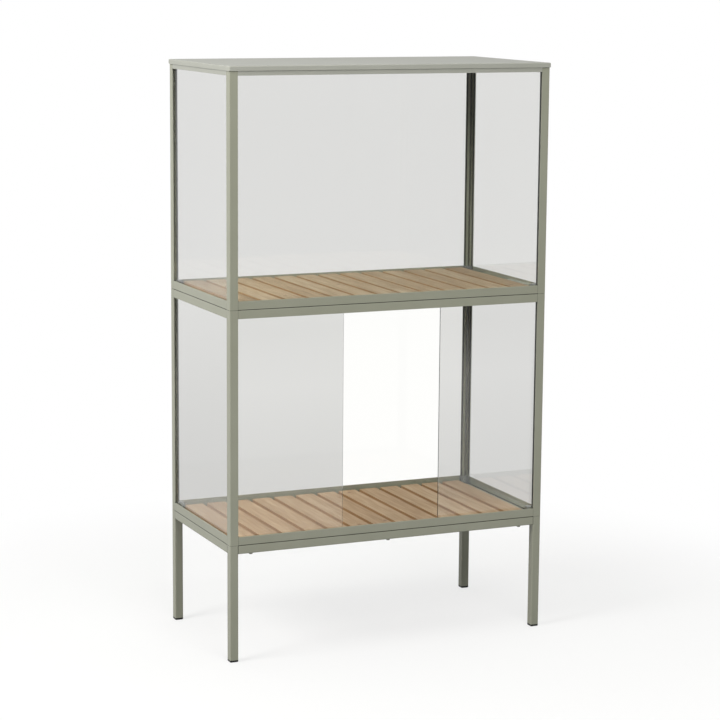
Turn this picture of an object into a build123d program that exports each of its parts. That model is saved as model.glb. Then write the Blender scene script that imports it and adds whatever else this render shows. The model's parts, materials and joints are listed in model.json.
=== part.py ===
from build123d import *
import os

# Greenhouse cabinet: a leg base of square tube, two glazed cases of folded steel angle,
# a slatted deck in each case and a folded sheet cap that lifts off.
# Millimetres, Z up, origin on the floor under the middle of the frame. The front faces -Y.

# Frame
width = 800.0
depth = 400.0
base_height = 275.0
case_height = 543.0

# Square tube of the leg base
tube_size = 20.0
tube_wall = 1.5
tube_edge_radius = 2.0

# Foot caps, pushed into the legs
foot_pad_height = 5.0
foot_chamfer = 1.5
foot_stem_height = 15.0
foot_stem_clearance = 0.2

# Folded angle of posts and rails
angle_leg = 20.0
angle_thickness = 2.0
fold_radius = 2.0
free_edge_radius = 0.5
butt_chamfer = 0.4
ledge_width = 28.0

# Glazing
glass_thickness = 4.0
glass_arris = 0.4
seal_thickness = 2.0
seal_width = 3.0
pane_clearance = 0.5
pane_top_clearance = 1.0
front_pane_setback = 10.0
pad_size = 18.0
pad_proud = 1.0
pad_edge_radius = 1.5

# Sliding doors of the lower case and their two-groove tracks
door_width = 262.0
left_door_gap = 10.5
right_door_gap = 0.5
door_side_clearance = 0.6
door_lift = 0.3
door_top_engagement = 5.0
track_wall = 1.2
track_floor = 1.5
bottom_track_height = 10.0
top_track_height = 18.0

# Slatted decks
slat_count = 13
slat_width = 47.0
slat_thickness = 8.0
slat_corner_radius = 4.0
slat_edge_radius = 0.6
deck_side_margin = 30.0
deck_end_clearance = 3.0
batten_width = 20.0
batten_thickness = 7.0
batten_inset = 70.0
upper_batten_bearing = 13.0
lower_batten_end_gap = 7.0

# Deck screws
screw_radius = 1.75
screw_head_radius = 3.5
screw_head_height = 2.0
screw_head_edge_radius = 0.8
screw_recess_length = 3.6
screw_recess_width = 0.9
screw_recess_depth = 1.2
screw_bite = 5.0
screw_clearance = 0.1

# Bolts and nuts
bolt_radius = 2.5
bolt_clearance = 0.2
bolt_head_flats = 8.0
bolt_head_height = 4.0
bolt_head_chamfer = 0.6
bolt_end_inset = 54.0
bolt_tip_gap = 0.2
case_bolt_inset = 22.0
nut_height = 4.0
nut_clearance = 0.05
bolt_past_nut = 1.0

# Lift-off cap
cap_overhang = 2.5
cap_sheet = 1.5
cap_height = 11.0
cap_corner_radius = 4.0
cap_fold_radius = 2.0

# Places that follow from the sizes above
half_width = width / 2
half_depth = depth / 2
upper_base = base_height + case_height
frame_top = upper_base + case_height
leg_x = half_width - tube_size / 2
leg_y = half_depth - tube_size / 2
leg_centres = [(x * leg_x, y * leg_y) for x in (-1, 1) for y in (-1, 1)]
bolt_columns = (bolt_end_inset - half_width, 0.0, half_width - bolt_end_inset)
bolt_hole_radius = bolt_radius + bolt_clearance
case_bolt_y = half_depth - case_bolt_inset

leg_inside_x = half_width - angle_thickness
leg_inside_y = half_depth - angle_thickness
side_pane_outer = leg_inside_x - seal_thickness
side_pane_inner = side_pane_outer - glass_thickness
back_pane_outer = leg_inside_y - seal_thickness
back_pane_inner = back_pane_outer - glass_thickness
front_pane_outer = half_depth - front_pane_setback
front_pane_inner = front_pane_outer - glass_thickness
between_side_panes = side_pane_inner - pane_clearance

groove = glass_thickness + 2 * door_side_clearance
track_depth = 3 * track_wall + 2 * groove
track_inner = leg_inside_y - track_depth
track_wall_y = [leg_inside_y - track_wall / 2 - step * (track_wall + groove) for step in range(3)]
front_door_y = -(track_wall_y[0] + track_wall_y[1]) / 2
rear_door_y = -(track_wall_y[1] + track_wall_y[2]) / 2

deck_width = width - 2 * deck_side_margin
slat_pitch = (deck_width - slat_width) / (slat_count - 1)
slat_front = -track_inner + deck_end_clearance
slat_back = back_pane_inner - deck_end_clearance
slat_length = slat_back - slat_front
slat_middle_y = (slat_front + slat_back) / 2
batten_rows = (slat_front + batten_inset, slat_back - batten_inset)
ledge_inside_x = half_width - ledge_width

# Each side of the frame seen from its own middle: local X runs along it, local Y points out
SIDES = {
    "front": (Plane((0, 0, 0), x_dir=(-1, 0, 0), z_dir=(0, 0, 1)), half_width, half_depth),
    "back": (Plane((0, 0, 0), x_dir=(1, 0, 0), z_dir=(0, 0, 1)), half_width, half_depth),
    "left": (Plane((0, 0, 0), x_dir=(0, 1, 0), z_dir=(0, 0, 1)), half_depth, half_width),
    "right": (Plane((0, 0, 0), x_dir=(0, -1, 0), z_dir=(0, 0, 1)), half_depth, half_width),
}
CORNERS = {
    "front_left": (-1, -1),
    "front_right": (1, -1),
    "back_left": (-1, 1),
    "back_right": (1, 1),
}


def keep(piece, name):
    """Label a finished piece and write its STEP file."""
    piece.part.label = name
    export_step(piece.part, f"parts/{name}.step")


# Leg base
def make_leg(name, x_sign, y_sign):
    """A square tube from the top of the foot pad to the top of the base."""
    with BuildPart() as leg:
        with BuildSketch(Plane((x_sign * leg_x, y_sign * leg_y, foot_pad_height))):
            RectangleRounded(tube_size, tube_size, tube_edge_radius)
            Rectangle(tube_size - 2 * tube_wall, tube_size - 2 * tube_wall, mode=Mode.SUBTRACT)
        extrude(amount=base_height - foot_pad_height)
    keep(leg, name)


def make_base_rail(name, side, bolted):
    """A square tube between two legs, drilled for the bolts where it carries them."""
    frame, half_span, half_out = side
    half_length = half_span - tube_size
    start = frame.from_local_coords((-half_length, half_out - tube_size / 2, base_height - tube_size / 2))
    with BuildPart() as rail:
        with BuildSketch(Plane(start, x_dir=(0, 0, 1), z_dir=frame.x_dir)):
            RectangleRounded(tube_size, tube_size, tube_edge_radius)
            Rectangle(tube_size - 2 * tube_wall, tube_size - 2 * tube_wall, mode=Mode.SUBTRACT)
        extrude(amount=2 * half_length)
        along = rail.faces().sort_by(Axis(start, frame.x_dir))
        chamfer(along[0].outer_wire().edges() + along[-1].outer_wire().edges(), length=butt_chamfer)
        if bolted:
            with BuildSketch(frame.offset(base_height - tube_size)):
                with Locations(*[(x, half_out - tube_size / 2) for x in bolt_columns]):
                    Circle(bolt_hole_radius)
            extrude(amount=tube_size, mode=Mode.SUBTRACT)
    keep(rail, name)


def make_foot_caps():
    """Four pads under the legs, each with a stem inside its tube."""
    stem = tube_size - 2 * tube_wall - 2 * foot_stem_clearance
    with BuildPart() as foot_caps:
        with BuildSketch():
            with Locations(*leg_centres):
                RectangleRounded(tube_size, tube_size, tube_edge_radius)
        extrude(amount=foot_pad_height)
        chamfer(foot_caps.edges().group_by(Axis.Z)[0], length=foot_chamfer)
        with BuildSketch(Plane.XY.offset(foot_pad_height)):
            with Locations(*leg_centres):
                Rectangle(stem, stem)
        extrude(amount=foot_stem_height)
    keep(foot_caps, "foot_caps")


# Cases
def make_post(name, x_sign, y_sign, low):
    """A corner post: folded angle with its legs along the two outside faces."""
    outside = (x_sign * half_width, y_sign * half_depth)
    edge_x = x_sign * (half_width - angle_leg)
    edge_y = y_sign * (half_depth - angle_leg)
    inside = (x_sign * leg_inside_x, y_sign * leg_inside_y)
    with BuildPart() as post:
        with BuildSketch(Plane.XY.offset(low)) as section:
            with BuildLine():
                Polyline(
                    outside,
                    (edge_x, outside[1]),
                    (edge_x, inside[1]),
                    inside,
                    (inside[0], edge_y),
                    (outside[0], edge_y),
                    close=True,
                )
            make_face()
            fold = section.vertices().sort_by_distance((outside[0], outside[1], low))[0]
            fillet(fold, radius=fold_radius)
        extrude(amount=case_height)
        ends = post.edges().group_by(Axis.Z)
        chamfer(ends[0] + ends[-1], length=butt_chamfer)
    keep(post, name)


def make_rail(name, side, low, ledge_on_top, hole_y=None):
    """A folded rail: an upright between two posts and a mitred ledge turned inwards."""
    frame, half_span, half_out = side
    upright_half = half_span - angle_leg
    ledge_low = low + angle_leg - angle_thickness if ledge_on_top else low
    fold_z = low + angle_leg if ledge_on_top else low
    free_z = low if ledge_on_top else low + angle_leg
    with BuildPart() as rail:
        with BuildSketch(frame.offset(low)):
            with Locations((0, half_out - angle_thickness / 2)):
                Rectangle(2 * upright_half, angle_thickness)
        extrude(amount=angle_leg)
        with BuildSketch(frame.offset(ledge_low)):
            with BuildLine():
                Polyline(
                    (-(half_span - angle_thickness), half_out - angle_thickness),
                    (half_span - angle_thickness, half_out - angle_thickness),
                    (half_span - ledge_width, half_out - ledge_width),
                    (-(half_span - ledge_width), half_out - ledge_width),
                    close=True,
                )
            make_face()
            if hole_y is not None:
                with Locations(*[(x, hole_y) for x in bolt_columns]):
                    Circle(bolt_hole_radius, mode=Mode.SUBTRACT)
        extrude(amount=angle_thickness)
        fold_point = frame.from_local_coords((0, half_out, fold_z))
        fillet(rail.edges().sort_by_distance(fold_point)[0], radius=fold_radius)
        free_point = frame.from_local_coords((0, half_out, free_z))
        fillet(rail.edges().sort_by_distance(free_point)[0], radius=free_edge_radius)
        for end in (-upright_half, upright_half):
            butt_point = frame.from_local_coords((end, half_out, low + angle_leg / 2))
            chamfer(rail.edges().sort_by_distance(butt_point)[0], length=butt_chamfer)
    keep(rail, name)


def make_case_frame(case, low):
    """Four posts, four bottom rails and four top rails of one case."""
    for corner, (x_sign, y_sign) in CORNERS.items():
        make_post(f"{case}_post_{corner}", x_sign, y_sign, low)
    bottom_hole_y = leg_y if case == "lower" else case_bolt_y
    top_hole_y = case_bolt_y if case == "lower" else None
    for side_name, side in SIDES.items():
        along_x = side_name in ("front", "back")
        bottom_holes = bottom_hole_y if along_x else None
        top_holes = top_hole_y if along_x else None
        make_rail(f"{case}_bottom_rail_{side_name}", side, low, False, bottom_holes)
        make_rail(f"{case}_top_rail_{side_name}", side, low + case_height - angle_leg, True, top_holes)


# Glazing
def make_pane(name, x_span, y_span, z_span):
    """A pane of float glass with its sharp edges taken off."""
    middle = ((x_span[0] + x_span[1]) / 2, (y_span[0] + y_span[1]) / 2)
    with BuildPart() as pane:
        with BuildSketch(Plane.XY.offset(z_span[0])):
            with Locations(middle):
                Rectangle(x_span[1] - x_span[0], y_span[1] - y_span[0])
        extrude(amount=z_span[1] - z_span[0])
        chamfer(pane.edges(), length=glass_arris)
    keep(pane, name)


def make_case_panes(case, low):
    """The fixed panes of one case; they stand on the ledges of the bottom rails."""
    z_span = (low + angle_thickness, low + case_height - angle_thickness - pane_top_clearance)
    side_y = (-(leg_inside_y - pane_clearance), leg_inside_y - pane_clearance)
    between = (-between_side_panes, between_side_panes)
    make_pane(f"{case}_pane_left", (-side_pane_outer, -side_pane_inner), side_y, z_span)
    make_pane(f"{case}_pane_right", (side_pane_inner, side_pane_outer), side_y, z_span)
    make_pane(f"{case}_pane_back", between, (back_pane_inner, back_pane_outer), z_span)
    if case == "upper":
        make_pane(f"{case}_pane_front", between, (-front_pane_outer, -front_pane_inner), z_span)


def make_seals(case, low):
    """Rubber strips on the edges of the post legs, between the legs and the panes."""
    strip_low = low + angle_thickness
    strip_high = low + case_height - angle_thickness
    edge_x = half_width - angle_leg
    edge_y = half_depth - angle_leg
    side_x = (side_pane_outer + leg_inside_x) / 2
    back_y = (back_pane_outer + leg_inside_y) / 2
    front_y = (front_pane_outer + leg_inside_y) / 2
    with BuildPart() as seals:
        with BuildSketch(Plane.XY.offset(strip_low)):
            with GridLocations(2 * side_x, 2 * edge_y + seal_width, 2, 2):
                Rectangle(seal_thickness, seal_width)
            with Locations((-edge_x - seal_width / 2, back_y), (edge_x + seal_width / 2, back_y)):
                Rectangle(seal_width, seal_thickness)
            if case == "upper":
                with Locations((-edge_x - seal_width / 2, -front_y), (edge_x + seal_width / 2, -front_y)):
                    Rectangle(seal_width, leg_inside_y - front_pane_outer)
        extrude(amount=strip_high - strip_low)
        if case == "lower":
            # The strip at the right front post closes the front groove and stops the left door
            stop_depth = 2 * track_wall + groove
            with BuildSketch(Plane.XY.offset(strip_low + bottom_track_height)):
                with Locations((edge_x + seal_width / 2, -leg_inside_y + stop_depth / 2)):
                    Rectangle(seal_width, stop_depth)
            extrude(amount=strip_high - strip_low - bottom_track_height - top_track_height)
    keep(seals, f"{case}_seals")


def make_corner_pads(case, low):
    """Clear pads that hold the panes at the bottom and top corners, seated on the ledges."""
    pad_x = side_pane_inner - pad_size / 2
    pad_height = angle_leg - angle_thickness + pad_proud
    front_face = track_inner if case == "lower" else front_pane_inner
    rows = (-front_face + pad_size / 2, back_pane_inner - pad_size / 2)
    bottom_seat = low + angle_thickness
    top_seat = low + case_height - angle_thickness
    with BuildPart() as pads:
        for pad_low in (bottom_seat, top_seat - pad_height):
            with BuildSketch(Plane.XY.offset(pad_low)):
                with Locations(*[(x, y) for x in (-pad_x, pad_x) for y in rows]):
                    Rectangle(pad_size, pad_size)
            extrude(amount=pad_height)
        levels = pads.faces().filter_by(Axis.Z).group_by(Axis.Z)
        fillet(levels[1].edges() + levels[2].edges(), radius=pad_edge_radius)
    keep(pads, f"{case}_corner_pads")


# Sliding doors
def make_doors():
    """Two frameless panes, each in its own groove, so that they can pass each other."""
    ledge_top = base_height + angle_thickness
    z_low = ledge_top + track_floor + door_lift
    z_high = upper_base - angle_thickness - top_track_height + door_top_engagement
    half_glass = glass_thickness / 2
    left_edge = -side_pane_inner + left_door_gap
    right_edge = side_pane_inner - right_door_gap
    front_y = (front_door_y - half_glass, front_door_y + half_glass)
    rear_y = (rear_door_y - half_glass, rear_door_y + half_glass)
    make_pane("left_door", (left_edge, left_edge + door_width), front_y, (z_low, z_high))
    make_pane("right_door", (right_edge - door_width, right_edge), rear_y, (z_low, z_high))


def make_track(name, low, height, floor_low):
    """A two-groove channel behind the front rail: a floor and three walls."""
    length = 2 * between_side_panes
    with BuildPart() as track:
        with BuildSketch(Plane.XY.offset(floor_low)):
            with Locations((0, -leg_inside_y + track_depth / 2)):
                Rectangle(length, track_depth)
        extrude(amount=track_floor)
        with BuildSketch(Plane.XY.offset(low)):
            with Locations(*[(0, -y) for y in track_wall_y]):
                Rectangle(length, track_wall)
        extrude(amount=height)
    keep(track, name)


# Decks
def make_deck(case, batten_low, slat_low, batten_half):
    """A row of slats on two battens, screwed from below."""
    slat_x = [(index - (slat_count - 1) / 2) * slat_pitch for index in range(slat_count)]
    screw_places = [(x, y) for x in slat_x for y in batten_rows]
    with BuildPart() as slats:
        with BuildSketch(Plane.XY.offset(slat_low)):
            with Locations(*[(x, slat_middle_y) for x in slat_x]):
                RectangleRounded(slat_width, slat_length, slat_corner_radius)
        extrude(amount=slat_thickness)
        fillet(slats.faces().group_by(Axis.Z)[-1].edges(), radius=slat_edge_radius)
        with BuildSketch(Plane.XY.offset(slat_low)):
            with Locations(*screw_places):
                Circle(screw_radius + screw_clearance)
        extrude(amount=screw_bite + screw_clearance, mode=Mode.SUBTRACT)
    keep(slats, f"{case}_slats")

    with BuildPart() as battens:
        with BuildSketch(Plane.XY.offset(batten_low)):
            with Locations(*[(0, y) for y in batten_rows]):
                Rectangle(2 * batten_half, batten_width)
            with Locations(*screw_places):
                Circle(screw_radius + screw_clearance, mode=Mode.SUBTRACT)
        extrude(amount=batten_thickness)
    keep(battens, f"{case}_battens")

    with BuildPart() as screws:
        with BuildSketch(Plane.XY.offset(batten_low - screw_head_height)):
            with Locations(*screw_places):
                Circle(screw_head_radius)
        extrude(amount=screw_head_height)
        fillet(screws.edges().group_by(Axis.Z)[0], radius=screw_head_edge_radius)
        with BuildSketch(Plane.XY.offset(batten_low - screw_head_height)):
            with Locations(*screw_places):
                Rectangle(screw_recess_length, screw_recess_width)
                Rectangle(screw_recess_width, screw_recess_length)
        extrude(amount=screw_recess_depth, mode=Mode.SUBTRACT)
        with BuildSketch(Plane.XY.offset(batten_low)):
            with Locations(*screw_places):
                Circle(screw_radius)
        extrude(amount=batten_thickness + screw_bite)
    keep(screws, f"{case}_deck_screws")


# Bolts and nuts
def make_bolts(name, y_offset, seat, tip):
    """Two rows of hex bolts with their heads under the seat."""
    places = [(x, y) for x in bolt_columns for y in (-y_offset, y_offset)]
    with BuildPart() as bolts:
        with BuildSketch(Plane.XY.offset(seat - bolt_head_height)):
            with Locations(*places):
                RegularPolygon(bolt_head_flats / 2, 6, major_radius=False)
        extrude(amount=bolt_head_height)
        chamfer(bolts.edges().group_by(Axis.Z)[0], length=bolt_head_chamfer)
        with BuildSketch(Plane.XY.offset(seat)):
            with Locations(*places):
                Circle(bolt_radius)
        extrude(amount=tip - seat)
    keep(bolts, name)


def make_case_nuts():
    """Hex nuts on the ledges of the upper case."""
    places = [(x, y) for x in bolt_columns for y in (-case_bolt_y, case_bolt_y)]
    with BuildPart() as nuts:
        with BuildSketch(Plane.XY.offset(upper_base + angle_thickness)):
            with Locations(*places):
                RegularPolygon(bolt_head_flats / 2, 6, major_radius=False)
                Circle(bolt_radius + nut_clearance, mode=Mode.SUBTRACT)
        extrude(amount=nut_height)
    keep(nuts, "case_nuts")


# Lift-off cap
def make_cap():
    """A shallow tray of folded sheet, upside down over the top rails."""
    low = frame_top + cap_sheet - cap_height
    inside = cap_overhang - cap_sheet
    with BuildPart() as top_cap:
        with BuildSketch(Plane.XY.offset(low)):
            RectangleRounded(width + 2 * cap_overhang, depth + 2 * cap_overhang, cap_corner_radius)
        extrude(amount=cap_height)
        fillet(top_cap.faces().sort_by(Axis.Z)[-1].edges(), radius=cap_fold_radius)
        with BuildSketch(Plane.XY.offset(low)):
            RectangleRounded(width + 2 * inside, depth + 2 * inside, cap_corner_radius - cap_sheet)
        extrude(amount=cap_height - cap_sheet, mode=Mode.SUBTRACT)
    keep(top_cap, "top_cap")


os.makedirs("parts", exist_ok=True)

for corner, (x_sign, y_sign) in CORNERS.items():
    make_leg(f"leg_{corner}", x_sign, y_sign)
for side_name, side in SIDES.items():
    make_base_rail(f"base_rail_{side_name}", side, side_name in ("front", "back"))
make_foot_caps()

for case, low in (("lower", base_height), ("upper", upper_base)):
    make_case_frame(case, low)
    make_case_panes(case, low)
    make_seals(case, low)
    make_corner_pads(case, low)

make_doors()
lower_ledge = base_height + angle_thickness
upper_ledge = upper_base + angle_thickness
top_ledge_low = upper_base - angle_thickness
make_track("door_track_bottom", lower_ledge, bottom_track_height, lower_ledge)
make_track("door_track_top", top_ledge_low - top_track_height, top_track_height, top_ledge_low - track_floor)

# The lower slats lie on the front and back ledges, with the battens between the side ledges.
# The upper deck stands with its battens on the side ledges, so its slats are nearly flush.
make_deck("lower", lower_ledge - batten_thickness, lower_ledge, ledge_inside_x - lower_batten_end_gap)
make_deck("upper", upper_ledge, upper_ledge + batten_thickness, ledge_inside_x + upper_batten_bearing)

make_bolts("base_bolts", leg_y, base_height - tube_size, lower_ledge - bolt_tip_gap)
make_bolts("case_bolts", case_bolt_y, top_ledge_low, upper_ledge + nut_height + bolt_past_nut)
make_case_nuts()
make_cap()
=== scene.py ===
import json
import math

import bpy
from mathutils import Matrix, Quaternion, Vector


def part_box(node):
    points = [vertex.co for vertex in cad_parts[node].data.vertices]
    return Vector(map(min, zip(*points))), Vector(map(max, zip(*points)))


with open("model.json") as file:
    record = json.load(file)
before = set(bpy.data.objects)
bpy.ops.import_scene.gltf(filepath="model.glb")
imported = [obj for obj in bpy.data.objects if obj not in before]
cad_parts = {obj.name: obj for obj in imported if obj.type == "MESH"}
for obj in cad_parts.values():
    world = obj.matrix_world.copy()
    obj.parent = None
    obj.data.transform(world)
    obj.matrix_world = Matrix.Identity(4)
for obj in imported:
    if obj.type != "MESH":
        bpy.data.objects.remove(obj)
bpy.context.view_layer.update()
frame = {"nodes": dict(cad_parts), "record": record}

# %% [markdown]
# ## A greenhouse cabinet, dressed
# The imported model brings every piece of the cabinet at its real size: a leg base of square tube, two
# glazed cases of folded steel angle, slatted decks, sliding panes and a cap that lifts off. All of it is
# rigid, so nothing is modelled anew and nothing is moved. This lesson gives each piece the finish of the
# real one, sets up a small studio and looks at the cabinet from the photograph's side.

NODES = frame["nodes"]
MM = 0.001

# %% [markdown]
# ## Colours and nodes
# Colours are read off with a colour picker, so they are written as sRGB hex values. Shaders work in linear
# light, and one function turns the first into the second. A second function adds a shader node, sets its
# sockets and links it, so that each finish below reads as a short recipe. Nodes could be wired by hand in
# the editor too, but a script gives the same result every time.

# %% Helpers for colours and nodes
def linear(colour):
    """A linear colour from an sRGB hex value such as "9C9D8D"."""
    shares = [int(colour[i:i + 2], 16) / 255 for i in (0, 2, 4)]
    return tuple(c / 12.92 if c <= 0.04045 else ((c + 0.055) / 1.055) ** 2.4 for c in shares) + (1.0,)


def add(owner, kind, inputs=None, **settings):
    """Add one node to a material or world. inputs maps a socket to a value or to another node's output."""
    tree = owner.node_tree
    node = tree.nodes.new(kind)
    for name, value in settings.items():
        setattr(node, name, value)
    for socket, value in (inputs or {}).items():
        if isinstance(value, bpy.types.NodeSocket):
            tree.links.new(value, node.inputs[socket])
        else:
            node.inputs[socket].default_value = value
    return node


def blank_material(name):
    """A material without nodes."""
    material = bpy.data.materials.new(name)
    material.use_nodes = True
    material.node_tree.nodes.clear()
    return material


print("half grey 808080 is", round(linear("808080")[0], 3), "in linear light")

# %% [markdown]
# ## The camera
# Straight edges of the frame give the photograph's camera: a long lens from a little above, turned to the
# left. The long lens keeps the posts nearly parallel. It could be set by eye, but a fit to the edges puts
# every bar in its place, so angles, distance and target are the fitted values. The picture is square.

# %% Camera
PHOTO_AZIMUTH = -23.884
PHOTO_ELEVATION = 9.6741
PHOTO_ROLL = 0.44668
PHOTO_DISTANCE = 5.5213
PHOTO_TARGET = Vector((0.008424, 0.0, 0.64962))
LENS_MM = 115.0

turn = math.radians(PHOTO_AZIMUTH)
rise = math.radians(PHOTO_ELEVATION)
towards_camera = Vector((math.sin(turn) * math.cos(rise), -math.cos(turn) * math.cos(rise), math.sin(rise)))
camera_data = bpy.data.cameras.new("photo_camera")
camera_data.lens = LENS_MM
camera = bpy.data.objects.new("photo_camera", camera_data)
bpy.context.scene.collection.objects.link(camera)
camera.location = PHOTO_TARGET + towards_camera * PHOTO_DISTANCE
camera.rotation_mode = "QUATERNION"
level_view = (-towards_camera).to_track_quat("-Z", "Y")
camera.rotation_quaternion = level_view @ Quaternion((0, 0, 1), math.radians(PHOTO_ROLL))
bpy.context.scene.camera = camera
print("camera at", [round(x, 3) for x in camera.location], "with a lens of", LENS_MM, "mm")

# %% [markdown]
# ## Light by the way it came
# The cabinet stands on pale paper, with a darker room in front of it. The photograph's white was cut out
# later, while the panes still show the paper a little grey and mirror the room. One brightness can't give
# both. A whole room of walls and lamps could, with more noise and more to tune. Blender's Light Path node
# is simpler: it tells rays from the camera, rays through glass, mirrored rays and scattered rays apart, and
# the studio gives each its own level. A mirrored ray has a glossy bounce behind it, also when it has passed
# through a pane since.

# %% Levels for each kind of ray
BRIGHT_SIDE = (0.2, 0.98, -0.3)
DARK_COSINE = -0.8
BRIGHT_COSINE = 0.2


def ray_levels(owner, to_camera, through, mirrored, scattered):
    """A level for each way that a ray comes, and whether it was seen in glass or gloss."""
    path = add(owner, "ShaderNodeLightPath")
    seen_in = add(owner, "ShaderNodeMath", operation="MAXIMUM",
                  inputs={0: path.outputs["Is Glossy Ray"], 1: path.outputs["Is Transmission Ray"]})
    bounced = add(owner, "ShaderNodeMath", {0: path.outputs["Glossy Depth"], 1: 1.0}, operation="MINIMUM")
    in_glass = add(owner, "ShaderNodeMix", {"Factor": bounced.outputs[0], "A": through, "B": mirrored})
    indirect = add(owner, "ShaderNodeMix",
                   {"Factor": seen_in.outputs[0], "A": scattered, "B": in_glass.outputs[0]})
    level = add(owner, "ShaderNodeMix",
                {"Factor": path.outputs["Is Camera Ray"], "A": indirect.outputs[0], "B": to_camera})
    return level.outputs[0], seen_in.outputs[0]


def room_light(owner, direction, front, behind):
    """A level that rises from the room in front of the cabinet to the paper behind it."""
    cosine = add(owner, "ShaderNodeVectorMath", {0: direction, 1: BRIGHT_SIDE}, operation="DOT_PRODUCT")
    level = add(owner, "ShaderNodeMapRange", {
        "Value": cosine.outputs["Value"], "From Min": DARK_COSINE, "From Max": BRIGHT_COSINE,
        "To Min": front, "To Max": behind})
    return level.outputs[0]


print("the room is brightest towards", BRIGHT_SIDE)

# %% [markdown]
# ## The world
# Beyond the paper there is only the room. To the camera it is plain white, and through glass it has the
# level of far paper, so that no horizon shows in a pane. To mirrored and scattered rays it is dark in front
# and bright behind, which makes the front of the frame a step darker than its sides. A picture of a room
# could do this as well, but a few levels need no file.

# %% World
WHITE = (1.0, 1.0, 1.0, 1.0)
FULL = 1.0
FRONT_LIGHT = 0.24
BACK_LIGHT = 0.76
FAR_LEVEL = 0.865
ROOM_SHARE = 0.08
SIDE_SHARE = 0.75
GLARE = 1.38

world = bpy.data.worlds.new("studio")
world.use_nodes = True
world.node_tree.nodes.clear()
sky = add(world, "ShaderNodeTexCoord").outputs["Generated"]
mirrored_sky = room_light(world, sky, FAR_LEVEL * ROOM_SHARE * GLARE, FAR_LEVEL * SIDE_SHARE)
scattered_sky = room_light(world, sky, FRONT_LIGHT, BACK_LIGHT)
world_level, _ = ray_levels(world, FULL, FAR_LEVEL, mirrored_sky, scattered_sky)
background = add(world, "ShaderNodeBackground", {"Color": WHITE, "Strength": world_level})
add(world, "ShaderNodeOutputWorld", {"Surface": background.outputs[0]})
bpy.context.scene.world = world
print("scattered light goes from", FRONT_LIGHT, "in front to", BACK_LIGHT, "behind")

# %% [markdown]
# ## The paper as the panes show it
# Through a pane, paper near the cabinet is a little darker than paper far away. Mirrored in a pane, it is
# brighter in front, where the front lamp falls on it, and it falls off to the sides. Some metres in front
# it ends and the dark room begins, which is why the lit slats show in the upper back pane. All of this
# could be modelled and lit. Here it is worked out from a point's place on the floor, in metres.

# %% Paper seen in glass
NEAR_LEVEL = 0.66
NEAR_REACH = 1.5
FAR_REACH = 6.5
PAPER_FRONT = -3.4
ROOM_FRONT = -4.7
SIDE_START = 0.4
SIDE_END = 2.2
GLARE_FRONT = -1.0


def paper_in_glass(paper, place, reach):
    """The paper's level through a pane, and mirrored in one."""
    through = add(paper, "ShaderNodeMapRange", {
        "Value": reach, "From Min": NEAR_REACH, "From Max": FAR_REACH,
        "To Min": NEAR_LEVEL, "To Max": FAR_LEVEL})
    axes = add(paper, "ShaderNodeSeparateXYZ", {0: place})
    room = add(paper, "ShaderNodeMapRange", {
        "Value": axes.outputs["Y"], "From Min": ROOM_FRONT, "From Max": PAPER_FRONT,
        "To Min": ROOM_SHARE, "To Max": FULL})
    sideways = add(paper, "ShaderNodeMath", {0: axes.outputs["X"]}, operation="ABSOLUTE")
    side = add(paper, "ShaderNodeMapRange", {
        "Value": sideways.outputs[0], "From Min": SIDE_START, "From Max": SIDE_END,
        "To Min": FULL, "To Max": SIDE_SHARE})
    glare = add(paper, "ShaderNodeMapRange", {
        "Value": axes.outputs["Y"], "From Min": GLARE_FRONT, "From Max": 0.0,
        "To Min": GLARE, "To Max": FULL})
    mirrored = through
    for share in (room, side, glare):
        mirrored = add(paper, "ShaderNodeMath", operation="MULTIPLY",
                       inputs={0: mirrored.outputs[0], 1: share.outputs[0]})
    return through.outputs[0], mirrored.outputs[0]


print("paper ends", -PAPER_FRONT, "m in front, and the room is dark from", -ROOM_FRONT, "m")

# %% [markdown]
# ## The paper itself
# Round the feet the paper is a plain matt surface with a little glow, so that the cabinet's soft shadow
# lies on a pale ground. Further out it fades to plain white, and no edge of the light shows. In the panes
# the plain level starts closer in, but the paper under the cabinet keeps its shade, so that the gaps
# between the slats stay dim. A floor that only catches shadows would be simpler, but the panes would then
# have nothing to show.

# %% Paper and floor
PAPER_COLOUR = "868684"
FLOOR_SIZE = 40.0
FLOOR_GLOW = 0.71
GLASS_GLOW = 0.40
SHADE_START = 0.45
SHADE_END = 0.9
FADE_START = 0.7
FADE_END = NEAR_REACH


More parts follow.
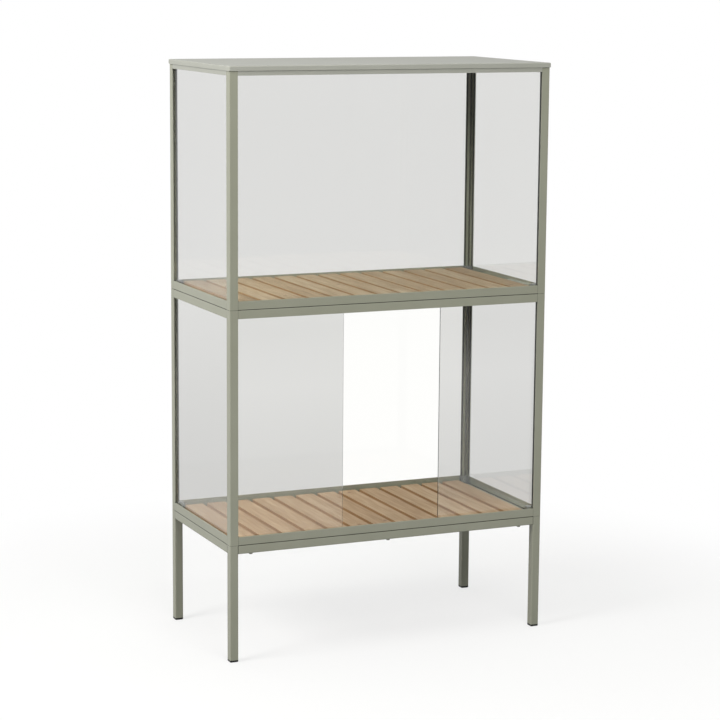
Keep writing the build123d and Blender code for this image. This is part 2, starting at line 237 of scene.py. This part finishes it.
def paper_sweep():
    """Matt paper that keeps the cabinet's shadow and turns plain further out."""
    paper = blank_material("paper_sweep")
    place = add(paper, "ShaderNodeTexCoord").outputs["Object"]
    reach = add(paper, "ShaderNodeVectorMath", {0: place}, operation="LENGTH").outputs["Value"]
    matt = add(paper, "ShaderNodeBsdfDiffuse", {"Color": linear(PAPER_COLOUR)})
    glow_level, _ = ray_levels(paper, FLOOR_GLOW, GLASS_GLOW, GLASS_GLOW, 0.0)
    glow = add(paper, "ShaderNodeEmission", {"Color": WHITE, "Strength": glow_level})
    near = add(paper, "ShaderNodeAddShader", {0: matt.outputs[0], 1: glow.outputs[0]})

    through, mirrored = paper_in_glass(paper, place, reach)
    outwards = add(paper, "ShaderNodeVectorMath", {0: place}, operation="NORMALIZE")
    scattered = room_light(paper, outwards.outputs[0], FRONT_LIGHT, BACK_LIGHT)
    far_level, seen_in = ray_levels(paper, FULL, through, mirrored, scattered)
    far = add(paper, "ShaderNodeEmission", {"Color": WHITE, "Strength": far_level})

    fade = add(paper, "ShaderNodeMapRange", interpolation_type="SMOOTHSTEP",
               inputs={"Value": reach, "From Min": FADE_START, "From Max": FADE_END})
    shade = add(paper, "ShaderNodeMapRange", interpolation_type="SMOOTHSTEP",
                inputs={"Value": reach, "From Min": SHADE_START, "From Max": SHADE_END})
    in_glass = add(paper, "ShaderNodeMath", {0: seen_in, 1: shade.outputs[0]}, operation="MULTIPLY")
    share = add(paper, "ShaderNodeMath", {0: fade.outputs[0], 1: in_glass.outputs[0]}, operation="MAXIMUM")
    sheet = add(paper, "ShaderNodeMixShader", {0: share.outputs[0], 1: near.outputs[0], 2: far.outputs[0]})
    add(paper, "ShaderNodeOutputMaterial", {"Surface": sheet.outputs[0]})
    return paper


bpy.ops.mesh.primitive_plane_add(size=FLOOR_SIZE, location=(0, 0, 0))
floor = bpy.context.object
floor.name = "paper_floor"
floor.data.materials.append(paper_sweep())
print("paper", FLOOR_SIZE, "m wide, plain white from", FADE_END, "m out")

# %% [markdown]
# ## The lamps
# The left faces of the frame are the lightest, and the front is a step darker. So the stronger lamp stands
# on the left and a weaker one in front, both high up, because the cap and the slats are lit from above.
# Small lamps would give the same levels with hard shadows. Soft boxes of more than a metre and a half keep
# the shadow round the feet as soft as studio light is.

# %% Soft boxes
BOX_SIZE = 1.6
BOX_AIM = Vector((0.0, 0.0, 0.8))
BOXES = {
    "front_soft_box": (Vector((-0.3, -3.0, 2.6)), 61.0),
    "left_soft_box": (Vector((-3.4, -0.7, 3.0)), 122.0),
}

for name, (place, watts) in BOXES.items():
    lamp = bpy.data.lights.new(name, "AREA")
    lamp.shape = "SQUARE"
    lamp.size = BOX_SIZE
    lamp.energy = watts
    box = bpy.data.objects.new(name, lamp)
    bpy.context.scene.collection.objects.link(box)
    box.location = place
    box.rotation_mode = "QUATERNION"
    box.rotation_quaternion = (BOX_AIM - place).to_track_quat("-Z", "Y")
    print(name, watts, "W,", round((place - BOX_AIM).length, 2), "m from the cabinet")

# %% [markdown]
# ## Powder-coated steel
# The frame is tube and folded angle with a grey-green powder baked on as a thick skin. It hides the metal,
# so the shader is a plain dielectric with no metallic part. Baking leaves a faint orange peel, about a
# millimetre from crest to crest and drawn a little coarser here, so that it shows. The tone drifts over a
# hand's breadth. Where two pieces lie face to face the eye sees a dark hairline of shade. A narrow groove
# could be cut for it, but the pieces really touch, so shade is painted into the colour instead: an ambient
# occlusion node that reaches two millimetres darkens the paint in such seams, and on faces that lie just
# behind a pane. The cap and the rails under it have a rougher coat without that painted shade, and it is
# painted paler, standing in for the stronger light on the top of the cabinet.

# %% Powder coat
PEEL_MM = 1.6
PEEL_DEPTH_MM = 0.1
PEEL_BUMP = 0.06
DRIFT_MM = 90.0
GLOSS_SPREAD = 0.05
PAINT_IOR = 1.5
PAINTED_SHADE_REACH_MM = 2.15
PAINTED_SHADE_DEEPEST_AO = 0.6
PAINTED_SHADE_SAMPLES = 8
# A Mix node has sockets of the same names for each data type, so its colour sockets go by number.
MIX_A, MIX_B, MIX_OUT = 6, 7, 2


def powder_coat(name, dark, pale, painted_seam_shade, roughness):
    """A pebbled coat between two tones, with painted shade in seams and just behind panes. Its seam shade
    is the share of the colour left where that painted shade is deepest.
    """
    coat = blank_material(name)
    place = add(coat, "ShaderNodeTexCoord").outputs["Object"]
    drift = add(coat, "ShaderNodeTexNoise", {"Vector": place, "Scale": 1 / (DRIFT_MM * MM), "Detail": 3.0})
    peel = add(coat, "ShaderNodeTexNoise", {"Vector": place, "Scale": 1 / (PEEL_MM * MM), "Detail": 2.0})
    tone = add(coat, "ShaderNodeMix", data_type="RGBA",
               inputs={"Factor": drift.outputs["Fac"], MIX_A: linear(dark), MIX_B: linear(pale)})
    # Painted shade: ambient occlusion darkens the colour in seams and on faces about two millimetres behind
    # a pane.
    painted_shade_occlusion = add(coat, "ShaderNodeAmbientOcclusion", {"Distance": PAINTED_SHADE_REACH_MM * MM}, samples=PAINTED_SHADE_SAMPLES)
    painted_shade = add(coat, "ShaderNodeMapRange", {
        "Value": painted_shade_occlusion.outputs["AO"], "From Min": PAINTED_SHADE_DEEPEST_AO, "From Max": 1.0,
        "To Min": painted_seam_shade, "To Max": 1.0})
    tone_with_painted_shade = add(coat, "ShaderNodeMix", data_type="RGBA", blend_type="MULTIPLY",
                 inputs={"Factor": 1.0, MIX_A: tone.outputs[MIX_OUT], MIX_B: painted_shade.outputs[0]})
    gloss = add(coat, "ShaderNodeMapRange", {
        "Value": peel.outputs["Fac"],
        "To Min": roughness - GLOSS_SPREAD, "To Max": roughness + GLOSS_SPREAD})
    skin = add(coat, "ShaderNodeBump", {
        "Height": peel.outputs["Fac"], "Strength": PEEL_BUMP, "Distance": PEEL_DEPTH_MM * MM})
    paint = add(coat, "ShaderNodeBsdfPrincipled", {
        "Base Color": tone_with_painted_shade.outputs[MIX_OUT], "Roughness": gloss.outputs[0],
        "Normal": skin.outputs[0], "IOR": PAINT_IOR})
    add(coat, "ShaderNodeOutputMaterial", {"Surface": paint.outputs[0]})
    return coat


# A satin skin: soft highlights on the faces, and painted shade as a dark hairline in each seam and on faces
# just behind a pane.
frame_coat = powder_coat("powder_coated_steel", "979886", "A0A190", painted_seam_shade=0.02, roughness=0.25)
# A duller skin, which takes on the light of the paper behind when it is seen at a slant. Its tone is
# painted paler than the frame's, standing in for the stronger light on the top of the cabinet.
painted_lighter_top_coat = powder_coat("powder_coated_top", "A1A297", "ACADA2", painted_seam_shade=1.0, roughness=0.36)
print("coats", frame_coat.name, painted_lighter_top_coat.name, "with a peel of", PEEL_MM, "mm")

# %% [markdown]
# ## Float glass
# Clear float glass takes almost nothing from the light but mirrors a few percent at each face, more at a
# slant. The full way to make it is a transmitting shader on the real 4 mm slab, which also gives the grey
# line where a pane is seen on its edge. Lamps don't find their way through such a slab, so shadow rays see
# a pale filter instead. The lower back pane stands alone between the two doors, where the photograph is
# plain white. There the thin way is better: a transparent shader passes a ray on as it came, so the paper
# behind stays white to the camera, and a mirror that grows at a slant lies on top.

# %% Glass
CLEAR_GLASS = "FDFDFC"
LAMP_FILTER = "F8F9F7"
THIN_GLASS = "FFFFFE"
GLASS_IOR = 1.5
HEAD_ON_MIRROR = 0.01
SLANT_POWER = 5.0


def float_glass():
    """A clear slab that bends and mirrors light, and lets lamps through."""
    glass = blank_material("float_glass")
    slab = add(glass, "ShaderNodeBsdfPrincipled", {
        "Base Color": linear(CLEAR_GLASS), "Roughness": 0.0, "IOR": GLASS_IOR, "Transmission Weight": 1.0})
    lamp_filter = add(glass, "ShaderNodeBsdfTransparent", {"Color": linear(LAMP_FILTER)})
    path = add(glass, "ShaderNodeLightPath")
    pane = add(glass, "ShaderNodeMixShader", {
        0: path.outputs["Is Shadow Ray"], 1: slab.outputs[0], 2: lamp_filter.outputs[0]})
    add(glass, "ShaderNodeOutputMaterial", {"Surface": pane.outputs[0]})
    return glass


def thin_float_glass():
    """The same glass without the bend: a filter, with a mirror that grows at a slant."""
    glass = blank_material("thin_float_glass")
    clear = add(glass, "ShaderNodeBsdfTransparent", {"Color": linear(THIN_GLASS)})
    mirror = add(glass, "ShaderNodeBsdfGlossy", {"Color": WHITE, "Roughness": 0.0})
    slant = add(glass, "ShaderNodeLayerWeight", {"Blend": 0.5})
    steep = add(glass, "ShaderNodeMath", {0: slant.outputs["Facing"], 1: SLANT_POWER}, operation="POWER")
    share = add(glass, "ShaderNodeMath", operation="MULTIPLY_ADD",
                inputs={0: steep.outputs[0], 1: 1 - HEAD_ON_MIRROR, 2: HEAD_ON_MIRROR})
    pane = add(glass, "ShaderNodeMixShader", {
        0: share.outputs[0], 1: clear.outputs[0], 2: mirror.outputs[0]})
    add(glass, "ShaderNodeOutputMaterial", {"Surface": pane.outputs[0]})
    return glass


# Nearly colourless, with the room mirrored faintly in each face.
thick_pane = float_glass()
# Hardly there when it is seen head on.
thin_pane = thin_float_glass()
print("panes", thick_pane.name, thin_pane.name)

# %% [markdown]
# ## One board for each slat
# Every slat is cut from another board, so no two look alike. The thirteen slats of a deck are one node, and
# each could get a material of its own. It is shorter to count: a point's distance from the left edge, in
# pitches, gives the slat's number, and white noise turns the number into a chance value and colour. The
# two decks start from different numbers, picked for a run of dark and pale boards like the photograph's.

# %% Slat numbers
SLAT_COUNT = 13
SLAT_WIDTH = 47.0 * MM
LOWER_BOARD = 4649
UPPER_BOARD = 1992
slats_low, slats_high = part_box("lower_slats")
upper_slats_low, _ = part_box("upper_slats")
BETWEEN_DECKS = (slats_high.z + upper_slats_low.z) / 2
SLAT_PITCH = (slats_high.x - slats_low.x - SLAT_WIDTH) / (SLAT_COUNT - 1)
FIRST_EDGE = slats_low.x - (SLAT_PITCH - SLAT_WIDTH) / 2


def number_slats(wood, axes):
    """The deck, 0 or 1, and a node with a chance value and colour for the slat."""
    from_left = add(wood, "ShaderNodeMath", {0: axes.outputs["X"], 1: FIRST_EDGE}, operation="SUBTRACT")
    pitches = add(wood, "ShaderNodeMath", {0: from_left.outputs[0], 1: SLAT_PITCH}, operation="DIVIDE")
    slat = add(wood, "ShaderNodeMath", {0: pitches.outputs[0]}, operation="FLOOR")
    deck = add(wood, "ShaderNodeMath", {0: axes.outputs["Z"], 1: BETWEEN_DECKS}, operation="GREATER_THAN")
    first = add(wood, "ShaderNodeMapRange",
                {"Value": deck.outputs[0], "To Min": LOWER_BOARD, "To Max": UPPER_BOARD})
    board = add(wood, "ShaderNodeMath", {0: first.outputs[0], 1: slat.outputs[0]}, operation="ADD")
    chance = add(wood, "ShaderNodeTexWhiteNoise", {"W": board.outputs[0]}, noise_dimensions="1D")
    return deck.outputs[0], chance


print("slat pitch", round(SLAT_PITCH / MM, 2), "mm, decks parted at", round(BETWEEN_DECKS, 3), "m")

# %% [markdown]
# ## Knots
# A knot is where a branch grew through the board. It is a brown spot about 10 mm wide, and the grain bends
# round it. Knots could be placed one by one, but then both decks would need a list. Cell noise with large
# cells has one centre in each cell, and only some of those centres fall on a slat.

# %% Knots
KNOT_CELL_MM = 240.0
KNOT_RADIUS_MM = 5.0
KNOT_CORE = 0.45
KNOT_RIM = 1.5
BEND_MM = 4.0
BEND_REACH = 4.0


def knot_spots(wood, on_board):
    """How far inside a knot a point is, and how much the grain bends round it."""
    spots = add(wood, "ShaderNodeTexVoronoi", voronoi_dimensions="2D",
                inputs={"Vector": on_board, "Scale": 1 / (KNOT_CELL_MM * MM)})
    away_mm = add(wood, "ShaderNodeMath", operation="MULTIPLY",
                  inputs={0: spots.outputs["Distance"], 1: KNOT_CELL_MM})
    knot = add(wood, "ShaderNodeMapRange", interpolation_type="SMOOTHSTEP", inputs={
        "Value": away_mm.outputs[0], "To Min": 1.0, "To Max": 0.0,
        "From Min": KNOT_RADIUS_MM * KNOT_CORE, "From Max": KNOT_RADIUS_MM * KNOT_RIM})
    bend = add(wood, "ShaderNodeMapRange", {
        "Value": away_mm.outputs[0], "To Min": BEND_MM * MM, "To Max": 0.0,
        "From Min": KNOT_RADIUS_MM, "From Max": KNOT_RADIUS_MM * BEND_REACH})
    return knot.outputs[0], bend.outputs[0]


print("knots", 2 * KNOT_RADIUS_MM, "mm wide, up to one in", KNOT_CELL_MM, "mm")

# %% [markdown]
# ## Grain
# The slats are sawn along the grain, so streaks run along each slat, front to back, with finer fibres
# between them. A picture of a board would repeat from slat to slat. Noise that is stretched along Y never
# does, and its scales are real sizes: streaks of 5 mm, fibres a little under a millimetre, and a slow drift
# of tone over 22 mm. The chance value makes one board paler than the next.

# %% Grain
STRETCH = 0.06
TONE_MM = 22.0
STREAK_MM = 5.0
FIBRE_MM = 0.9
STREAK_SHARE = 1.1
TONE_SHARE = 0.70
BOARD_SHARE = 0.24
DARK_FIGURE = 0.83
PALE_FIGURE = 1.33


def grain(wood, on_board, bend, chance):
    """The figure from dark to pale that streaks, tone and board add up to, and the streaks and fibres."""
    along = add(wood, "ShaderNodeMapping", {"Vector": on_board, "Scale": (1.0, STRETCH, 1.0)})
    bent = add(wood, "ShaderNodeVectorMath", {0: along.outputs[0], 1: bend}, operation="ADD").outputs[0]
    tone = add(wood, "ShaderNodeTexNoise", {"Vector": bent, "Scale": 1 / (TONE_MM * MM), "Detail": 2.0})
    streak = add(wood, "ShaderNodeTexNoise", {
        "Vector": bent, "Scale": 1 / (STREAK_MM * MM), "Detail": 4.0, "Roughness": 0.6})
    fibre = add(wood, "ShaderNodeTexNoise", {"Vector": bent, "Scale": 1 / (FIBRE_MM * MM), "Detail": 2.0})
    parts = [(streak.outputs["Fac"], STREAK_SHARE), (tone.outputs["Fac"], TONE_SHARE),
             (chance.outputs["Value"], BOARD_SHARE)]
    figure = 0.0
    for part, share in parts:
        summed = add(wood, "ShaderNodeMath", {0: part, 1: share, 2: figure}, operation="MULTIPLY_ADD")
        figure = summed.outputs[0]
    spread = add(wood, "ShaderNodeMapRange",
                 {"Value": figure, "From Min": DARK_FIGURE, "From Max": PALE_FIGURE})
    return spread.outputs[0], streak.outputs["Fac"], fibre.outputs["Fac"]


print("streaks", STREAK_MM, "mm, fibres", FIBRE_MM, "mm, drift", TONE_MM, "mm")

# %% [markdown]
# ## Oiled softwood
# Oil leaves planed softwood warm and dull: dark streaks are brown, pale ones nearly the colour of straw.
# The sides and ends of a slat are browner than its face: partly the darker oiled grain there, partly
# painted shade with golden bounce light down in the gaps. The upper deck gets a cooler, darker tint than
# the lower one, a painted veil of the front pane's reflection with painted shade under the cap. The edge
# could be a second material, but the face's direction tells an edge just as well.

# %% Wood
BOARD_SHIFT = (3.0, 3.0, 3.0)
DARK_STREAK = "8B7051"
MIDDLE_STREAK = "9E8465"
PALE_STREAK = "AF987B"
MIDDLE = 0.5
KNOT_BROWN = "806148"
EDGE_BROWN_AND_GAP_SHADE = "875E31"
EDGE_UPRIGHT = 0.3
EDGE_LEVEL = 0.8
EDGE_SHARE = 0.75
LOWER_DECK_PAINTED_SHADE = "F5F5F4"
UPPER_DECK_PAINTED_VEIL_AND_SHADE = "EDF8FF"
SMOOTH_WOOD = 0.62
ROUGH_WOOD = 0.78
WOOD_IOR = 1.48
FIBRE_BUMP = 0.25
FIBRE_DEPTH_MM = 0.15


def face_colour(wood, figure, knot):
    """The planed face: brown to straw by its figure, with darker knots."""
    colours = add(wood, "ShaderNodeValToRGB", {"Fac": figure})
    dark, pale = colours.color_ramp.elements
    dark.color = linear(DARK_STREAK)
    pale.color = linear(PALE_STREAK)
    colours.color_ramp.elements.new(MIDDLE).color = linear(MIDDLE_STREAK)
    knotted = add(wood, "ShaderNodeMix", data_type="RGBA",
                  inputs={"Factor": knot, MIX_A: colours.outputs["Color"], MIX_B: linear(KNOT_BROWN)})
    return knotted.outputs[MIX_OUT]


def oiled_softwood():
    """Planed softwood with streaks along Y, a tone for each slat and a few knots."""
    wood = blank_material("oiled_softwood")
    place = add(wood, "ShaderNodeTexCoord").outputs["Object"]
    deck, chance = number_slats(wood, add(wood, "ShaderNodeSeparateXYZ", {0: place}))
    shift = add(wood, "ShaderNodeVectorMath", operation="MULTIPLY",
                inputs={0: chance.outputs["Color"], 1: BOARD_SHIFT})
    moved = add(wood, "ShaderNodeVectorMath", {0: place, 1: shift.outputs[0]}, operation="ADD")
    on_board = moved.outputs[0]
    knot, bend = knot_spots(wood, on_board)
    figure, streak, fibre = grain(wood, on_board, bend, chance)

    normal = add(wood, "ShaderNodeNewGeometry").outputs["Normal"]
    slope = add(wood, "ShaderNodeSeparateXYZ", {0: normal}).outputs["Z"]
    flatness = add(wood, "ShaderNodeMath", {0: slope}, operation="ABSOLUTE")
    # Upright faces turn browner: darker oiled grain at the sides and ends, and painted shade with golden
    # bounce light in the gaps between slats.
    edge = add(wood, "ShaderNodeMapRange", {
        "Value": flatness.outputs[0], "From Min": EDGE_UPRIGHT, "From Max": EDGE_LEVEL,
        "To Min": EDGE_SHARE, "To Max": 0.0})
    edged = add(wood, "ShaderNodeMix", data_type="RGBA", inputs={
        "Factor": edge.outputs[0], MIX_A: face_colour(wood, figure, knot), MIX_B: linear(EDGE_BROWN_AND_GAP_SHADE)})
    # Painted light for each deck: the upper tint is a painted veil of the front pane's reflection with
    # painted shade under the cap, the lower one a slight painted shade.
    painted_deck_light = add(wood, "ShaderNodeMix", data_type="RGBA",
                inputs={"Factor": deck, MIX_A: linear(LOWER_DECK_PAINTED_SHADE), MIX_B: linear(UPPER_DECK_PAINTED_VEIL_AND_SHADE)})
    surface = add(wood, "ShaderNodeMix", data_type="RGBA", blend_type="MULTIPLY",
                  inputs={"Factor": 1.0, MIX_A: edged.outputs[MIX_OUT], MIX_B: painted_deck_light.outputs[MIX_OUT]})

    gloss = add(wood, "ShaderNodeMapRange", {"Value": streak, "To Min": SMOOTH_WOOD, "To Max": ROUGH_WOOD})
    pores = add(wood, "ShaderNodeBump", {
        "Height": fibre, "Strength": FIBRE_BUMP, "Distance": FIBRE_DEPTH_MM * MM})
    plank = add(wood, "ShaderNodeBsdfPrincipled", {
        "Base Color": surface.outputs[MIX_OUT], "Roughness": gloss.outputs[0],
        "Normal": pores.outputs[0], "IOR": WOOD_IOR})
    add(wood, "ShaderNodeOutputMaterial", {"Surface": plank.outputs[0]})
    return wood


# Warm and dull, with no highlight of its own, and each slat a little different.
slat_wood = oiled_softwood()
print("wood", slat_wood.name, "from", LOWER_BOARD, "below and", UPPER_BOARD, "above")

# %% [markdown]
# ## Rubber strips
# Between a post and a pane lies an extruded strip of black rubber. Only its edge shows, as a dark line. One
# dark grey would nearly do, but rubber gets a faint grey bloom as it ages, and fine noise gives that.

# %% Rubber
BLOOM_MM = 1.2
DARK_RUBBER = "22221F"
BLOOMED_RUBBER = "34342F"
RUBBER_ROUGHNESS = 0.72
RUBBER_IOR = 1.52


def extruded_rubber():
    """Extruded black rubber with a grey bloom."""
    rubber = blank_material("extruded_rubber")
    place = add(rubber, "ShaderNodeTexCoord").outputs["Object"]
    bloom = add(rubber, "ShaderNodeTexNoise",
                {"Vector": place, "Scale": 1 / (BLOOM_MM * MM), "Detail": 3.0})
    tone = add(rubber, "ShaderNodeMix", data_type="RGBA", inputs={
        "Factor": bloom.outputs["Fac"], MIX_A: linear(DARK_RUBBER), MIX_B: linear(BLOOMED_RUBBER)})
    strip = add(rubber, "ShaderNodeBsdfPrincipled", {
        "Base Color": tone.outputs[MIX_OUT], "Roughness": RUBBER_ROUGHNESS, "IOR": RUBBER_IOR})
    add(rubber, "ShaderNodeOutputMaterial", {"Surface": strip.outputs[0]})
    return rubber


# Nearly black and matt, a shade lighter than the feet.
seal_rubber = extruded_rubber()
print("strips", seal_rubber.name)

# %% [markdown]
# ## Foot caps
# The feet are moulded polyethylene, pushed into the legs. The mould leaves a fine grain, which could be
# modelled as real pits, but a bump is enough on so small a piece. It is drawn coarser than on real caps,
# so that it shows close by.

# %% Foot plastic
FOOT_GRAIN_MM = 0.8
FOOT_DEPTH_MM = 0.1
FOOT_BUMP = 0.2
DARK_FOOT = "090909"
PALE_FOOT = "131312"
SMOOTH_FOOT = 0.42
ROUGH_FOOT = 0.6
FOOT_IOR = 1.51


def moulded_polyethylene():
    """Black moulded polyethylene with a fine grain."""
    plastic = blank_material("moulded_polyethylene")
    place = add(plastic, "ShaderNodeTexCoord").outputs["Object"]
    pits = add(plastic, "ShaderNodeTexNoise",
               {"Vector": place, "Scale": 1 / (FOOT_GRAIN_MM * MM), "Detail": 2.0})
    tone = add(plastic, "ShaderNodeMix", data_type="RGBA",
               inputs={"Factor": pits.outputs["Fac"], MIX_A: linear(DARK_FOOT), MIX_B: linear(PALE_FOOT)})
    gloss = add(plastic, "ShaderNodeMapRange",
                {"Value": pits.outputs["Fac"], "To Min": SMOOTH_FOOT, "To Max": ROUGH_FOOT})
    skin = add(plastic, "ShaderNodeBump", {
        "Height": pits.outputs["Fac"], "Strength": FOOT_BUMP, "Distance": FOOT_DEPTH_MM * MM})
    foot = add(plastic, "ShaderNodeBsdfPrincipled", {
        "Base Color": tone.outputs[MIX_OUT], "Roughness": gloss.outputs[0],
        "Normal": skin.outputs[0], "IOR": FOOT_IOR})
    add(plastic, "ShaderNodeOutputMaterial", {"Surface": foot.outputs[0]})
    return plastic


# Black with a soft sheen on its rounded edges.
foot_plastic = moulded_polyethylene()
print("feet", foot_plastic.name)

# %% [markdown]
# ## Corner pads
# Clear plastic pads hold the panes in the corners. Up close they are see-through, from a step away they
# read as milky. Real scattering inside the plastic would be slow for so small a piece, so most of the light
# passes straight through a slightly rough face, and the rest is the pad's own pale colour.

# %% Pad plastic
CLOUD_MM = 4.0
DARK_CLOUD = "D2D6D0"
PALE_CLOUD = "E6E9E4"
PAD_ROUGHNESS = 0.12
PAD_IOR = 1.46
PAD_CLEAR = 0.85


def milky_plastic():
    """Clear plastic that scatters a little, so that it reads as milky."""
    plastic = blank_material("milky_clear_plastic")
    place = add(plastic, "ShaderNodeTexCoord").outputs["Object"]
    cloud = add(plastic, "ShaderNodeTexNoise",
                {"Vector": place, "Scale": 1 / (CLOUD_MM * MM), "Detail": 2.0})
    tone = add(plastic, "ShaderNodeMix", data_type="RGBA", inputs={
        "Factor": cloud.outputs["Fac"], MIX_A: linear(DARK_CLOUD), MIX_B: linear(PALE_CLOUD)})
    pad = add(plastic, "ShaderNodeBsdfPrincipled", {
        "Base Color": tone.outputs[MIX_OUT], "Roughness": PAD_ROUGHNESS, "IOR": PAD_IOR,
        "Transmission Weight": PAD_CLEAR})
    add(plastic, "ShaderNodeOutputMaterial", {"Surface": pad.outputs[0]})
    return plastic


# Pale and cloudy, with soft edges.
pad_plastic = milky_plastic()
print("pads", pad_plastic.name)

# %% [markdown]
# ## Zinc-plated steel
# Deck screws, and the bolts and nuts between the cases, are plated with zinc. Plating grows in small
# crystals, which cell noise draws as a soft uneven grey. It is bare metal, so the shader is metallic.

# %% Zinc
CRYSTAL_MM = 2.0
DARK_ZINC = "B9BABC"
PALE_ZINC = "CFD0D2"
SMOOTH_ZINC = 0.28
ROUGH_ZINC = 0.42


def zinc_plate():
    """Zinc-plated steel with a soft uneven grey."""
    zinc = blank_material("zinc_plated_steel")
    place = add(zinc, "ShaderNodeTexCoord").outputs["Object"]
    crystal = add(zinc, "ShaderNodeTexVoronoi", {"Vector": place, "Scale": 1 / (CRYSTAL_MM * MM)})
    across = crystal.outputs["Distance"]
    tone = add(zinc, "ShaderNodeMix", data_type="RGBA",
               inputs={"Factor": across, MIX_A: linear(DARK_ZINC), MIX_B: linear(PALE_ZINC)})
    gloss = add(zinc, "ShaderNodeMapRange", {"Value": across, "To Min": SMOOTH_ZINC, "To Max": ROUGH_ZINC})
    plate = add(zinc, "ShaderNodeBsdfPrincipled", {
        "Base Color": tone.outputs[MIX_OUT], "Roughness": gloss.outputs[0], "Metallic": 1.0})
    add(zinc, "ShaderNodeOutputMaterial", {"Surface": plate.outputs[0]})
    return zinc


# Bright grey with blurred reflections.
zinc_steel = zinc_plate()
print("fasteners", zinc_steel.name)

# %% [markdown]
# ## Dressing the pieces
# Each node's slot in the record says what it is made of. One table gives a finish to each slot, and a
# second names the pieces that differ from their slot: the cap with the rails under it, and the lower back
# pane. The finish could be set node by node, but then a new screw would be easy to forget.

# %% Finishes on the nodes
FINISH_OF_SLOT = {
    "frame_paint": frame_coat,
    "pane_glass": thick_pane,
    "slat_wood": slat_wood,
    "seal_rubber": seal_rubber,
    "foot_plastic": foot_plastic,
    "clear_plastic": pad_plastic,
    "zinc_steel": zinc_steel,
}
FINISH_OF_NODE = {"top_cap": painted_lighter_top_coat, "lower_pane_back": thin_pane}
for side in ("front", "back", "left", "right"):
    # The cap and the top rails get the coat that is painted paler for the light on the top.
    FINISH_OF_NODE[f"upper_top_rail_{side}"] = painted_lighter_top_coat

slot_of = {subpart["node"]: subpart["material_slot"] for subpart in frame["record"]["subparts"]}
for name, node in NODES.items():
    finish = FINISH_OF_NODE.get(name, FINISH_OF_SLOT[slot_of[name]])
    node.data.materials.clear()
    node.data.materials.append(finish)
finishes = {node.data.materials[0].name for node in NODES.values()}
print("dressed", len(NODES), "nodes in", len(finishes), "finishes")

# %% [markdown]
# ## The picture
# The Standard view transform shows colours about as they are written.

# %% Finish
bpy.context.scene.view_settings.view_transform = "Standard"
